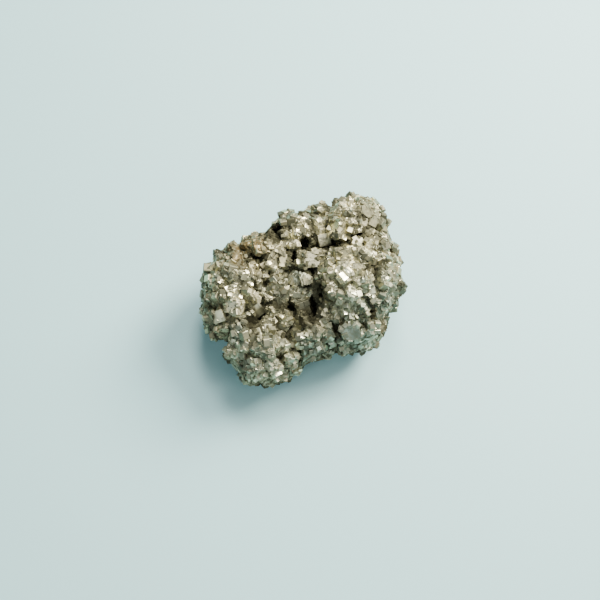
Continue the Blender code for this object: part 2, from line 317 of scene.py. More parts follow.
# Patches of a tint: the middle's x, y and z, the radius and the strength. Distances along Z
# count for less, so a patch is drawn out that way.
STAIN_SHAPE = (1, 1, 0.4)
STAINS = {
    "ochre": (
        (-9.4, 6, 14, 2.9, 1.5), (-15.2, -2.2, 9.5, 2, 0.6), (-5.5, 8.5, 12.5, 1.6, 0.5),
        (2.5, -7, 13, 2.4, 0.35),
    ),
    # Painted reflection: a greenish tint where the floor's colour would be mirrored.
    "green": (
        (2.5, -11, 9.5, 3.4, 0.7), (-9.5, -13, 8, 4, 0.35), (-10.5, -7.5, 11, 2.6, 0.4),
        (9, -7.5, 11.5, 4.8, 0.85), (14.5, -2, 13, 3.6, 0.6), (-0.2, 1, 14.5, 2.4, 0.5),
        (-4.6, -12.5, 10.5, 4, 0.4), (-16, -1, 11, 3.6, 0.4),
    ),
    # Painted shade, with dark tarnish: darker patches in the crevices, pits and valleys.
    "tarnish": (
        (-8.4, -6, 9.5, 1.2, 1.1), (-8.9, -7.1, 11.6, 1.45, 2.1), (-6.7, -3.9, 11.2, 0.9, 1),
        (-5.3, -3.2, 12.4, 0.9, 1.2), (-3.9, -3.7, 11.8, 1.1, 1.4), (-3.6, -4.6, 12.2, 0.9, 1.5),
        (-2.1, -3.2, 10.4, 1.2, 0.9), (-0.6, -2.6, 12.3, 0.8, 0.8), (1, -6.3, 12.8, 1.4, 2),
        (2.2, -1.8, 10.6, 1.3, 0.4), (3.4, -0.6, 14.6, 1, 1), (1.4, 1.9, 13.5, 1, 1),
        (-1.4, 4.2, 12.4, 1.3, 1), (0.7, 6.4, 13.5, 1.2, 1.4), (4.9, 6.1, 14, 0.9, 0.9),
        (-3.9, 11.4, 11.4, 1.6, 1.2), (-4.8, 8.4, 14.4, 1.5, 2), (-6.9, 9.8, 13.5, 1.5, 0.8),
        (5.9, 5.9, 14.6, 1.2, 1), (10.5, 7.9, 16.2, 0.85, 1.8), (-9.1, 3.8, 15.7, 0.8, 1.3),
        (-7.2, 4.4, 14.8, 0.9, 1.3), (-10.4, -0.6, 15.8, 0.6, 1.2), (-7.7, 0.6, 15.1, 0.8, 0.9),
        (-15, -3.5, 12.8, 1.2, 0.6), (-12.6, -6.9, 12.3, 1.2, 0.6), (-14.5, 5.2, 12.9, 1.8, 0.7),
        (-11.6, 6, 13.4, 1.6, 0.5), (12.6, 1.3, 18, 1.3, 1.2), (6.3, -3.5, 16.2, 0.8, 0.9),
        (11.6, -5.4, 13.8, 1.2, 1.1), (14.2, -6.5, 11, 1.6, 1.2), (13.3, -3.5, 16, 1, 0.7),
        (6.2, -7.5, 12.6, 0.9, 1.2), (-2.7, -8.7, 10.8, 1.3, 1.4), (2.5, -8, 13, 1.2, 0.6),
        (-6.1, -12.8, 13, 1.3, 0.7), (-15.6, -7.4, 9, 1.9, 0.8), (6.3, 5.2, 16, 1.2, 1.3),
        (-0.7, -8.8, 12.7, 0.6, 1), (-5.1, -7, 12.8, 0.6, 1.2), (-8.6, -11.3, 13, 0.9, 1),
        (-10.4, -14, 10, 1.3, 0.9), (-3.9, -12.4, 10.6, 0.9, 1), (15.2, 9, 12.9, 2.6, 0.25),
        (12, 12, 15.5, 2.4, 0.7), (11.9, 8.3, 16.5, 1.3, 0.6), (4.4, 14.5, 13.5, 1.5, 0.9),
        (17, -0.8, 13.6, 2.2, 0.6), (9.4, -9.2, 13.7, 1, 0.5), (-8.1, 7.5, 15.2, 0.9, 0.8),
        (10, 11, 17.9, 1, 0.5), (14.4, -7.6, 10.5, 0.8, 0.8), (-8.7, -1.8, 14.4, 0.8, 1),
        (-13.7, -10.9, 6.7, 1.2, 0.9), (-4, 4.3, 14.7, 0.9, 1.3), (0, 11.1, 15.3, 0.8, 0.7),
        (6.6, 16.1, 13.3, 1.2, 0.5), (0.9, -12.5, 7.3, 1, 0.5), (6.4, 4.3, 18.8, 0.8, 0.5),
        (4.6, 15, 14, 1.2, 0.6), (11.4, 9.4, 17.4, 0.9, 0.8), (10.4, 11.6, 17.6, 0.9, 0.7),
        (-8.2, -7.9, 12.4, 0.9, 1), (11, 0.5, 19, 0.7, 0.7), (17, -0.4, 14.2, 1, 0.5),
        (6.4, 4.4, 18.8, 0.8, 0.6), (13.2, 7.7, 16.4, 0.9, 0.8), (-15.8, -5.8, 12.3, 0.7, 1),
        (11, 14, 14.5, 1.2, 0.6), (0.7, 5.5, 15.1, 0.8, 0.8), (-8.2, -8.2, 12.6, 1.1, 1.2),
        (0.3, -5, 12.9, 0.9, 0.8), (3.9, 7.8, 14.4, 1.2, 0.3), (11.3, 1.1, 17.6, 0.9, 0.7),
        (6.3, 10.2, 16, 0.9, 0.5),
    ),
    # Painted highlights: pale patches where the facets glint.
    "clean": (
        (3.8, 8.3, 15, 1.2, 1.4), (3.2, 10.8, 14.5, 1.2, 1.3), (9, 10.2, 17, 0.9, 0.9),
        (2.3, -0.9, 13.8, 1, 1.1), (8.6, -0.8, 19, 1.3, 0.7), (5.6, -4.2, 14.4, 1.1, 1),
        (-8.1, -3.1, 9.8, 1.3, 1.4), (7.9, -5, 14.8, 1.9, 1.7), (7.2, -0.3, 19.2, 2, 1.8),
        (5, 0.1, 17.2, 1, 0.7), (9.4, -3.2, 18.1, 1.2, 0.9), (10.9, 5.2, 17.8, 1.5, 0.8),
        (14.8, -0.9, 17.7, 1, 0.7), (7.9, -5.5, 14.8, 1, 0.6), (-14.2, -5.6, 12.8, 1.2, 0.8),
        (-11.5, -4.6, 14.2, 1.7, 1.5), (-6.4, -7, 12.4, 1, 0.8), (-5.2, -15.3, 10.5, 2, 1),
        (-6.6, -16.6, 7.6, 2, 1.6), (-11.4, -11.6, 10.8, 1.3, 1.2), (-9.4, 2.4, 15.6, 1, 0.7),
        (-12.6, -1, 15.4, 1, 0.6), (6.6, 13.4, 16.6, 1.6, 0.7), (12.1, -8.9, 10.2, 1.2, 0.8),
        (-2.6, -10.7, 12.1, 0.8, 0.8), (-1, 7, 15, 0.7, 0.8), (9.4, 9.5, 16.9, 0.9, 0.9),
        (-6.5, 2.1, 13.9, 1.2, 0.9), (13.7, 9.8, 15.9, 1, 0.5), (-1, 0.9, 13.9, 1, 1),
        (-6.6, 1.9, 14, 0.9, 0.6), (4.2, 8.9, 13.5, 1, 0.9), (-2.4, 6.6, 14.4, 1, 1),
        (15.6, -3.9, 12.6, 1.2, 0.8),
    ),
}


def length(name, default, description):
    """A length property, given in millimetres and held in metres."""
    return FloatProperty(
        name=name, description=description, default=default * MM, min=0.0,
        unit="LENGTH", precision=5,
    )


def colour(name, default, description):
    """A colour property in linear light."""
    return FloatVectorProperty(
        name=name, description=description, default=default, min=0.0, max=1.0,
        size=3, subtype="COLOR",
    )


def share(name, default, description):
    """A number from 0 to 1."""
    return FloatProperty(
        name=name, description=description, default=default, min=0.0, max=1.0, subtype="FACTOR"
    )


class PYRITE_PG_cover(bpy.types.PropertyGroup):
    """Sizes of the crystals that cover the massive pyrite."""

    medium_spacing: length("Medium spacing", 1.1, "Distance between neighbouring medium crystals")
    medium_least: length("Medium least width", 0.8, "Width of the smallest medium crystals")
    medium_most: length("Medium most width", 1.45, "Width of the largest medium crystals")
    fine_spacing: length("Fine spacing", 0.75, "Distance between neighbouring fine crystals")
    fine_least: length("Fine least width", 0.45, "Width of the smallest fine crystals")
    fine_most: length("Fine most width", 0.95, "Width of the largest fine crystals")
    grain_spacing: length("Grain spacing", 0.7, "Distance between neighbouring grains")
    grain_least: length("Grain least width", 0.18, "Width of the smallest grains")
    grain_most: length("Grain most width", 0.4, "Width of the largest grains")
    parallel: share("Parallel share", 0.28, "Share of crystals that lie parallel to their facet")
    bare: share("Bare share", 0.1, "Share of the wide facets that stay bare")
    seed: IntProperty(name="Seed", description="Start of the random draws", default=7, min=0)


class PYRITE_PG_finish(bpy.types.PropertyGroup):
    """Colours and polish of the pyrite, with those of its painted shade, highlights and reflection.
    """

    fresh: colour("Fresh pyrite", (0.88, 0.82, 0.51), "Colour of clean, bright facets")
    grey: colour("Grey pyrite", (0.265, 0.262, 0.178), "Colour of duller facets")
    # Painted highlight: the pale colour where facets glint.
    clean: colour("Clean pyrite", (0.92, 0.87, 0.60), "Colour of the cleanest, palest facets")
    # Painted shade in the gaps and crevices, with dark tarnish.
    tarnish: colour("Dark tarnish", (0.062, 0.0595, 0.034), "Colour of the dark tarnish in gaps")
    # Painted reflection: the greenish tint of the floor on the facets.
    green: colour("Greenish pyrite", (0.35, 0.44, 0.365), "Colour of greenish facets")
    ochre: colour("Ochre stain", (0.37, 0.255, 0.09), "Colour of iron oxide on the surface")
    # Painted shade in the hollows, with their dirt.
    dirt: colour("Hollow dirt", (0.155, 0.147, 0.078), "Colour of what fills the hollows")
    polish: share("Roughness", 0.17, "Roughness of clean facets")


class PYRITE_PG_stage(bpy.types.PropertyGroup):
    """Camera, floor and light."""

    elevation: FloatProperty(
        name="Elevation", description="Angle of the camera above the horizon",
        default=math.radians(72), subtype="ANGLE",
    )
    lens: FloatProperty(
        name="Lens", description="Focal length of the camera", default=85.0, unit="CAMERA"
    )
    width: length("Frame width", 106.4, "Width of the view at the specimen")
    light: FloatProperty(
        name="Light", description="Power of the key light", default=4.35, unit="POWER"
    )
    sky: share("Sky", 0.07, "Strength of the even light from all round")
    floor: colour("Floor", (0.38, 0.64, 0.65), "Colour of the floor")


def read_out(shape):
    """The corners and the triangles of a working mesh, which is then freed."""
    shape.verts.index_update()
    corners = np.array([vert.co[:] for vert in shape.verts])
    triangles = np.array([[vert.index for vert in face.verts] for face in shape.faces])
    shape.free()
    return corners, triangles


def merged_solid():
    """The solid's corners, in millimetres, and its triangles, with doubled corners joined."""
    shape = bmesh.new()
    shape.from_mesh(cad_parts[NODE].data)
    bmesh.ops.remove_doubles(shape, verts=shape.verts, dist=MERGE_DISTANCE)
    corners, triangles = read_out(shape)
    return corners / MM, triangles


def group_triangles(pairs, count):
    """Numbers triangles so that the two of every pair, and all that are linked by pairs, agree.

    Every triangle starts with a number of its own. The lower one of each pair is taken over
    until nothing changes.
    """
    number = np.arange(count)
    while True:
        lower = number.copy()
        np.minimum.at(lower, pairs.ravel(), np.repeat(number[pairs].min(axis=1), 2))
        lower = lower[lower]
        if (lower == number).all():
            return np.unique(number, return_inverse=True)[1]
        number = lower


@lru_cache
def facets():
    """The solid's triangles, gathered into facets.

    Triangles that share an edge and lie in one plane are one facet. Its long edge is the
    longest of the edges round it.
    """
    corners, triangles = merged_solid()
    a, b, c = (corners[triangles[:, i]] for i in range(3))
    cross = np.cross(b - a, c - a)
    normals = cross / np.linalg.norm(cross, axis=1, keepdims=True)
    ends = np.sort(triangles[:, [[0, 1], [1, 2], [2, 0]]].reshape(-1, 2), axis=1)
    order = np.lexsort((ends[:, 1], ends[:, 0]))
    pairs = order.reshape(-1, 2) // 3
    flat = (normals[pairs[:, 0]] * normals[pairs[:, 1]]).sum(axis=1) > math.cos(FLAT_ANGLE)
    owner = group_triangles(pairs[flat], len(triangles))
    facet_normal = np.zeros((owner.max() + 1, 3))
    np.add.at(facet_normal, owner, cross)
    area = np.linalg.norm(facet_normal, axis=1) / 2
    facet_normal /= 2 * area[:, None]
    rim = ends[order[::2]][~flat]
    edge = np.tile(corners[rim[:, 1]] - corners[rim[:, 0]], (2, 1))
    beside = owner[pairs[~flat]].T.ravel()
    longest = np.lexsort((-np.linalg.norm(edge, axis=1), beside))
    along = edge[longest[np.unique(beside[longest], return_index=True)[1]]]
    along /= np.linalg.norm(along, axis=1, keepdims=True)
    return Solid(corners, triangles, owner, facet_normal, along, area)


def scatter(count, chance):
    """Points spread evenly over the solid.

    A triangle is drawn with a chance that goes with its area. The point in it is the mean of
    its corners with the weights 1 - sqrt r, (1 - s) sqrt r and s sqrt r, for random r and s.
    """
    solid = facets()
    a, b, c = (solid.corners[solid.triangles[:, i]] for i in range(3))
    weight = np.linalg.norm(np.cross(b - a, c - a), axis=1)
    drawn = chance.choice(len(weight), count, p=weight / weight.sum())
    root, other = np.sqrt(chance.random((count, 1))), chance.random((count, 1))
    point = a[drawn] * (1 - root) + b[drawn] * root * (1 - other) + c[drawn] * root * other
    facet = solid.owner[drawn]
    return Spots(point, solid.normal[facet], solid.along[facet], facet)


def thinned(spots, spacing, chance):
    """Keeps one place in each cell of a cubic lattice that is turned at random."""
    cells = np.floor(spots.point @ random_turns(1, chance)[0] / spacing).astype(int)
    _, first = np.unique(cells, axis=0, return_index=True)
    return spots.pick(np.sort(first))


@lru_cache
def height_map():
    """The solid's highest point over each cell of a level grid, and the grid's low corner."""
    low = np.array(CAD_BOX[0][:2]) / MM - HEIGHT_MARGIN
    high = np.array(CAD_BOX[1][:2]) / MM + HEIGHT_MARGIN
    heights = np.zeros(np.ceil((high - low) / HEIGHT_CELL).astype(int))
    point = scatter(HEIGHT_SAMPLES, np.random.default_rng(1)).point
    cell = ((point[:, :2] - low) / HEIGHT_CELL).astype(int)
    np.maximum.at(heights, (cell[:, 0], cell[:, 1]), point[:, 2])
    return heights, low


def hollow(point):
    """How much of the sky the specimen hides from each point, from 0 to 1.

    Each way round, the horizon is the steepest rise of the height map within the reaches.
    The result is the mean sine of the horizons' angles. The finish paints it as shade.
    """
    heights, low = height_map()
    hidden = np.zeros(len(point))
    for angle in np.arange(SKY_WAYS) * 2 * math.pi / SKY_WAYS:
        way = np.array((math.cos(angle), math.sin(angle)))
        rise = np.zeros(len(point))
        for reach in SKY_REACHES:
            cell = ((point[:, :2] + way * reach - low) / HEIGHT_CELL).astype(int)
            cell = np.clip(cell, 0, np.array(heights.shape) - 1)
            rise = np.maximum(rise, (heights[cell[:, 0], cell[:, 1]] - point[:, 2]) / reach)
        hidden += rise / np.sqrt(1 + rise**2)
    return hidden / SKY_WAYS


def leant(lean_x, lean_y, spin):
    """A rotation by degrees: spun about its own upright first and then leant over."""
    lean = Euler((math.radians(lean_x), math.radians(lean_y), 0)).to_matrix()
    return np.array(lean @ Euler((0, 0, math.radians(spin))).to_matrix())


def in_hollow(point):
    """1 for points in a pit or a crevice or on its wall, falling to 0 a little way off.

    A hollow is a ball drawn out along three axes. The distance from its middle is measured in
    its half widths, so it is 1 on the wall.
    """
    most = np.zeros(len(point))
    for held in HOLLOWS.values():
        turn = leant(HOLLOW_LEAN, 0, held.spin)
        distance = np.linalg.norm((point - held.centre) @ turn / held.radii, axis=1)
        near = (HOLLOW_FADE[1] - distance) / (HOLLOW_FADE[1] - HOLLOW_FADE[0])
        most = np.maximum(most, np.clip(near, 0, 1))
    return most


def stained(point, name):
    """The strength of a tint at each point.

    Each stain adds its strength times exp(-(distance / radius) ** 2). Stains are drawn out
    along Z, so that a patch runs down into the gaps.
    """
    total = np.zeros(len(point))
    for *centre, radius, amount in STAINS[name]:
        distance = np.linalg.norm((point - centre) * STAIN_SHAPE, axis=1)
        total += amount * np.exp(-((distance / radius) ** 2))
    return np.clip(total, 0, 1)


def turns_of(quaternions):
    """The rotation matrices of quaternions (w, x, y, z), which are made of length 1 first."""
    w, x, y, z = (quaternions / np.linalg.norm(quaternions, axis=1, keepdims=True)).T
    rows = (
        (1 - 2 * (y * y + z * z), 2 * (x * y - w * z), 2 * (x * z + w * y)),
        (2 * (x * y + w * z), 1 - 2 * (x * x + z * z), 2 * (y * z - w * x)),
        (2 * (x * z - w * y), 2 * (y * z + w * x), 1 - 2 * (x * x + y * y)),
    )
    return np.moveaxis(np.array(rows), 2, 0)


def random_turns(count, chance):
    """Rotations drawn evenly from all rotations."""
    return turns_of(chance.normal(size=(count, 4)))


def small_turns(count, angle, chance):
    """Rotations about random axes by small angles that spread as a bell curve."""
    tilt = chance.normal(scale=angle / 2, size=(count, 3))
    return turns_of(np.column_stack((np.ones(count), tilt)))


def facet_turns(spots):
    """Rotations that lay a crystal's X along the facet's long edge and its Z along the normal."""
    across = np.cross(spots.normal, spots.along)
    return np.stack((spots.along, across, spots.normal), axis=2)


def flat_places(points, triangles):
    """UV coordinates for each triangle's corners.

    They are the two coordinates that follow, in the order X, Y, Z, the one that the triangle's
    normal mostly points along. So the lines on neighbouring cube faces cross.
    """
    placed = points[triangles]
    normal = np.cross(placed[:, 1] - placed[:, 0], placed[:, 2] - placed[:, 0])
    axis = np.abs(normal).argmax(axis=1)[:, None, None]
    return np.concatenate(
        [np.take_along_axis(placed, (axis + step) % 3, axis=2) for step in (1, 2)], axis=2
    )


def hull_form(corners):
    """The closed form round a set of corners, as triangles with UV coordinates."""
    shape = bmesh.new()
    for corner in corners:
        shape.verts.new(corner)
    bmesh.ops.convex_hull(shape, input=shape.verts, use_existing_faces=False)
    bmesh.ops.triangulate(shape, faces=shape.faces)
    points, triangles = read_out(shape)
    return Form(points, triangles, flat_places(points, triangles))


def plane_corners(normals, distances):
    """The corners of the solid that planes with these normals and distances enclose."""
    corners = set()
    for trio in combinations(range(len(normals)), 3):
        planes, reach = normals[list(trio)], distances[list(trio)]
        if abs(np.linalg.det(planes)) > TOLERANCE:
            corner = np.linalg.solve(planes, reach)
            if (normals @ corner < distances + TOLERANCE).all():
                corners.add(tuple(np.round(corner, DECIMALS)))
    return sorted(corners)


def cyclic_normals(*triple):
    """All cyclic orders of a triple of numbers, with every choice of signs, as unit normals."""
    found = {
        tuple(np.roll([value * sign for value, sign in zip(triple, signs)], turn))
        for turn in range(3)
        for signs in product((1, -1), repeat=3)
    }
    normals = np.array(sorted(found), float)
    return normals / np.linalg.norm(normals, axis=1, keepdims=True)


@lru_cache
def forms():
    """Crystal forms by name: a plain, a chamfered and a bevelled cube, and a pyritohedron."""
    cube, slanted = cyclic_normals(1, 0, 0), cyclic_normals(2, 1, 0)
    inner = 1 - CHAMFER
    chamfered = [
        np.roll(np.array((1, inner, inner)) * signs, turn)
        for turn in range(3)
        for signs in product((1, -1), repeat=3)
    ]
    both = np.vstack((cube, slanted))
    reach = np.repeat((1.0, BEVEL_DISTANCE), (len(cube), len(slanted)))
    return {
        "cube": hull_form(list(product((1, -1), repeat=3))),
        "chamfered": hull_form(chamfered),
        "bevelled": hull_form(plane_corners(both, reach)),
        "pyritohedron": hull_form(plane_corners(slanted, np.ones(len(slanted)))),
    }


def grown(form, spots, turn, half, rise, offset):
    """Copies of a form on the given places.

    Each corner is stretched by the half widths and turned, and the copy is moved along the
    normal until its highest corner stands over the facet by the rise. Returns corners, each
    corner's height over the facet, and UV coordinates in millimetres for each triangle.
    """
    corners = np.einsum("nij,nvj->nvi", turn, form.corners[None] * half[:, None])
    height = np.einsum("nvi,ni->nv", corners, spots.normal)
    lift = rise - height.max(axis=1)
    corners += (spots.point + spots.normal * lift[:, None])[:, None]
    uv = form.uv[None] * half.mean(axis=1)[:, None, None, None] + offset[:, None, None]
    return corners, height + lift[:, None], uv


def new_piece(name, corners, triangles, uv, marks, material):
    """Makes a mesh piece from arrays and hands it to the frame.

    Corners are in millimetres. UV has a row for each triangle corner. A mark has a value for
    each corner of the mesh or for each triangle.
    """
    mesh = bpy.data.meshes.new(name)
    mesh.from_pydata(corners * MM, [], triangles)
    layer = mesh.uv_layers.new(name="facets")
    layer.uv.foreach_set("vector", uv.reshape(-1).astype(np.float32))
    for mark, values in marks.items():
        domain = "POINT" if len(values) == len(corners) else "FACE"
        made = mesh.attributes.new(mark, "FLOAT", domain)
        made.data.foreach_set("value", values.astype(np.float32))
    if mesh.validate():
        raise RuntimeError(f"{name} has faulty faces")
    mesh.materials.append(material)
    piece = bpy.data.objects.new(name, mesh)
    bpy.context.scene.collection.objects.link(piece)
    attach(piece, "root")
    return piece


def surface_marks(point, tone):
    """What the finish reads from the surface at each point."""
    return {
        "tone": tone,
        # Painted shade, with dirt: the share of sky that the specimen hides, and more in the listed
        # pits.
        "hollow": np.minimum(hollow(point) + HOLLOW_DIRT * in_hollow(point), 1),
        # The stains: ochre iron oxide, and painted reflection, shade with tarnish, and highlights.
        **{name: stained(point, name) for name in STAINS},
    }


@lru_cache
def block_places():
    """The middle, rotation and half width of every large crystal."""
    centres = np.array([(block.x, block.y, block.z) for block in BLOCKS.values()])
    turns = np.array([leant(block.lean_x, block.lean_y, block.spin) for block in BLOCKS.values()])
    halves = np.array([block.width / 2 for block in BLOCKS.values()])
    return centres, turns, halves


def on_block(point):
    """True for points on a large crystal's face, but not for those near the face's edges."""
    centres, turns, halves = block_places()
    local = np.abs(np.einsum("bji,nbj->nbi", turns, point[:, None] - centres[None]))
    _, middle, most = np.moveaxis(np.sort(local, axis=2), 2, 0)
    return ((most < halves + BLOCK_SLACK) & (middle < BLOCK_OPEN * halves)).any(axis=1)


def terraces(u, v, chance):
    """The height of a face over its plane: low rectangular steps that overlap and add up.

    Each step is a rectangle with its sides along the face's edges, and ends just before the
    chamfer.
    """
    height = np.zeros_like(u)
    for _ in range(TERRACES):
        middle, reach = chance.uniform(*TERRACE_MIDDLE, 2), chance.uniform(*TERRACE_REACH, 2)
        inside = (np.abs(u - middle[0]) < reach[0]) & (np.abs(v - middle[1]) < reach[1])
        height += inside * chance.uniform(*TERRACE_SHARE) * TERRACE_STEP
    border = np.maximum(np.abs(u), np.abs(v)) < 1 - 2 * BLOCK_CHAMFER
    return height * border


def block_shape(centre, turn, half, chance):
    """One large crystal: a cube of six gridded faces with chamfered edges and terraces.

    Each face is a grid in two parameters from -1 to 1, with a line just inside each edge. The
    corners past that line are pulled back onto the chamfer, and the rest rise by the terraces.
    """
    inner = np.linspace(-1 + BLOCK_CHAMFER, 1 - BLOCK_CHAMFER, BLOCK_GRID - 1)
    line = np.concatenate(([-1], inner, [1]))
    u, v = (grid.ravel() for grid in np.meshgrid(line, line, indexing="ij"))
    size = BLOCK_GRID + 1
    index = np.arange(size * size).reshape(size, size)
    a, b, c, d = index[:-1, :-1], index[1:, :-1], index[1:, 1:], index[:-1, 1:]
    quads = np.stack((a, b, c, d), axis=2).reshape(-1, 4)
    rim = 1 - BLOCK_CHAMFER / 2
    corners, faces = [], []
    for axis, sign in product(range(3), (1, -1)):
        edge = np.maximum(np.abs(u), np.abs(v)) > rim
        side = np.zeros((size * size, 3))
        side[:, axis] = sign * np.where(edge, rim, 1 + terraces(u, v, chance) / half)
        side[:, (axis + 1) % 3] = np.clip(u, -rim, rim)
        side[:, (axis + 2) % 3] = np.clip(v, -rim, rim)
        faces.append((quads if sign > 0 else quads[:, ::-1]) + len(corners) * size * size)
        corners.append(side)
    corners, faces = np.vstack(corners), np.vstack(faces)
    _, first, joined = np.unique(
        np.round(corners, DECIMALS), axis=0, return_index=True, return_inverse=True
    )
    corners, faces = corners[first], joined.reshape(-1)[faces]
    triangles = np.vstack((faces[:, [0, 1, 2]], faces[:, [0, 2, 3]]))
    uv = flat_places(corners, triangles) * half
    return centre + (corners * (half + BLOCK_SWELL)) @ turn.T, triangles, uv


def bare_facets(settings):
    """True for facets that stay free of smaller crystals: some of the wide ones."""
    area = facets().area
    chance = np.random.default_rng(settings.seed)
    return (area > FACET_TO_KEEP) & (chance.random(len(area)) < settings.bare)


def cover_crystals(spots, widths, settings, chance):
    """Rotations, half widths and heights over the facet of crystals at the given places.

    A crystal's width falls from the greatest to the least with the square of a random number,
    and is less in hollows and in the gaps that the patches of painted shade and tarnish mark.
    Its highest corner stands over the facet by a random share of its width: by less if it lies
    parallel to the facet, in a gap or on a wall, and by more in a hollow.
    """
    count = len(spots.point)
    width = widths[0] + (widths[1] - widths[0]) * chance.random(count) ** 2
    deep, gap = in_hollow(spots.point), stained(spots.point, "tarnish")
    width *= 1 - SMALLER_IN_HOLLOW * deep - SMALLER_IN_GAP * gap * (1 - deep)
    half = width[:, None] / 2 * chance.uniform(*STRETCH, (count, 3))
    lies_flat = chance.random(count) < settings.parallel
    tilt = small_turns(count, MOSAIC_TILT, chance)
    parallel = np.einsum("nij,njk->nik", facet_turns(spots), tilt)
    turn = np.where(lies_flat[:, None, None], parallel, random_turns(count, chance))
    low, high = chance.uniform(*PARALLEL_RISE, count), chance.uniform(*TURNED_RISE, count)
    rise = np.minimum(width * np.where(lies_flat, low, high), RISE_MOST)
    rise = rise * (1 + deep) * (1 - LOWER_IN_GAP * gap * (1 - deep))
    rise *= np.where(np.abs(spots.normal[:, 2]) < STEEP, ON_STEEP, 1)
    return turn, half, rise


def inside_box(corners):
    """True for crystals that stay over the floor and near enough to the solid's box."""
    low = np.array(CAD_BOX[0]) / MM - BOX_MARGIN
    high = np.array(CAD_BOX[1]) / MM + BOX_MARGIN
    low[2] = FLOOR_GAP
    return (corners > low).all(axis=(1, 2)) & (corners < high).all(axis=(1, 2))


def make_cover(name, size, material, settings):
    """Covers the solid with crystals of one size and makes them into pieces."""
    mix, seed = COVERS[size]
    spacing, *widths = (
        getattr(settings, f"{size}_{which}") / MM for which in ("spacing", "least", "most")
    )
    chance = np.random.default_rng(settings.seed + seed)
    area = facets().area.sum()
    spots = thinned(scatter(int(PLACES_DRAWN * area / spacing**2), chance), spacing, chance)
    turn, half, rise = cover_crystals(spots, widths, settings, chance)
    kind = chance.choice(len(mix), len(half), p=list(mix.values()))
    offset = chance.uniform(-UV_SHIFT, UV_SHIFT, (len(half), 2))
    tone = chance.random(len(half))
    bare = bare_facets(settings)[spots.facet] | on_block(spots.point)
    grows = ~bare | (chance.random(len(bare)) < ON_BARE_FACET)
    shells, start = [], 0
    for number, form in enumerate(forms()[key] for key in mix):
        chosen = np.flatnonzero(grows & (kind == number))
        corners, height, uv = grown(
            form, spots.pick(chosen), turn[chosen], half[chosen], rise[chosen], offset[chosen]
        )
        kept = inside_box(corners)
        corners, height, uv, chosen = corners[kept], height[kept], uv[kept], chosen[kept]
        first = start + np.arange(len(chosen)) * len(form.corners)
        triangles = form.triangles[None] + first[:, None, None]
        owner = np.repeat(chosen, len(form.triangles))
        shells.append((
            corners.reshape(-1, 3), triangles.reshape(-1, 3), uv.reshape(-1, 3, 2), owner,
            height.ravel(),
        ))
        start += len(chosen) * len(form.corners)
    joined = (np.concatenate(arrays) for arrays in zip(*shells))
    build_pieces(name, *joined, surface_marks(spots.point, tone), material)


def build_pieces(name, corners, triangles, uv, owner, rise, marks, material):
    """Splits crystals into pieces from left to right, so that none holds too many triangles.

    Owner gives each triangle's crystal. Rise has a value for each corner, and a mark has one
    for each crystal.
    """
    left = corners[triangles[:, 0], 0]
    middles = np.bincount(owner, left) / np.maximum(np.bincount(owner), 1)
    place = middles[owner]
    order = np.argsort(place, kind="stable")
    parts = math.ceil(len(triangles) / PIECE_TRIANGLES)
    edges = [place[order[len(order) * part // parts]] for part in range(1, parts)]
    bounds = [-np.inf, *edges, np.inf]
    for part in range(parts):
        chosen = np.flatnonzero((place > bounds[part]) & (place <= bounds[part + 1]))
        used, index = np.unique(triangles[chosen], return_inverse=True)
        held = {mark: values[owner[chosen]] for mark, values in marks.items()}
        new_piece(
            f"{name}_{part + 1}" if parts > 1 else name,
            corners[used], index.reshape(-1, 3), uv[chosen], {"rise": rise[used], **held}, material,
        )


def add_node(tree, kind, inputs=None, **settings):
    """Adds a node, sets its properties, and fills its inputs with values or links."""
    node = tree.nodes.new(kind)
    for name, value in settings.items():
        setattr(node, name, value)
    for socket, value in (inputs or {}).items():
        if isinstance(value, bpy.types.NodeSocket):
            tree.links.new(value, node.inputs[socket])
        else:
            node.inputs[socket].default_value = value
    return node


def maths(tree, operation, a, b=0.0, clamp=False):
    """One step of arithmetic on values."""
    node = add_node(tree, "ShaderNodeMath", {0: a, 1: b}, operation=operation, use_clamp=clamp)
    return node.outputs[0]


def mixed(tree, factor, a, b):
    """A mix of two colours."""
    return add_node(tree, "ShaderNodeMix", {0: factor, 6: a, 7: b}, data_type="RGBA").outputs[2]


def ranged(tree, value, low, high, to_low=0.0, to_high=1.0):
    """A value moved from one range to another along a smooth curve."""
    node = add_node(
        tree, "ShaderNodeMapRange", {0: value, 1: low, 2: high, 3: to_low, 4: to_high},
        interpolation_type="SMOOTHSTEP",
    )
    return node.outputs[0]


def marked(tree, name):
    """A value that the piece's surface carries."""
    return add_node(tree, "ShaderNodeAttribute", attribute_name=name).outputs["Fac"]


def place_in_mm(tree):
    """The place on the piece, in millimetres."""
    where = add_node(tree, "ShaderNodeTexCoord").outputs["Object"]
    return add_node(tree, "ShaderNodeMapping", {0: where, 3: (1 / MM,) * 3}).outputs[0]


def noise(tree, where, name, dimensions="3D"):
    """One of the noises, from 0 to 1. With one dimension, where is a number."""
    scale, detail, roughness = NOISES[name]
    place = "W" if dimensions == "1D" else "Vector"
    return add_node(
        tree, "ShaderNodeTexNoise",
        {place: where, "Scale": scale, "Detail": detail, "Roughness": roughness},
        noise_dimensions=dimensions,
    ).outputs[0]


def new_group(name, inputs, outputs):
    """An empty shader node group. Inputs and outputs are pairs of a name and a socket type."""
    tree = bpy.data.node_groups.new(name, "ShaderNodeTree")
    for direction, sockets in (("INPUT", inputs), ("OUTPUT", outputs)):
        for socket, kind in sockets:
            tree.interface.new_socket(socket, in_out=direction, socket_type=f"NodeSocket{kind}")
    start = tree.nodes.new("NodeGroupInput")
    end = tree.nodes.new("NodeGroupOutput")
    return tree, start.outputs, end


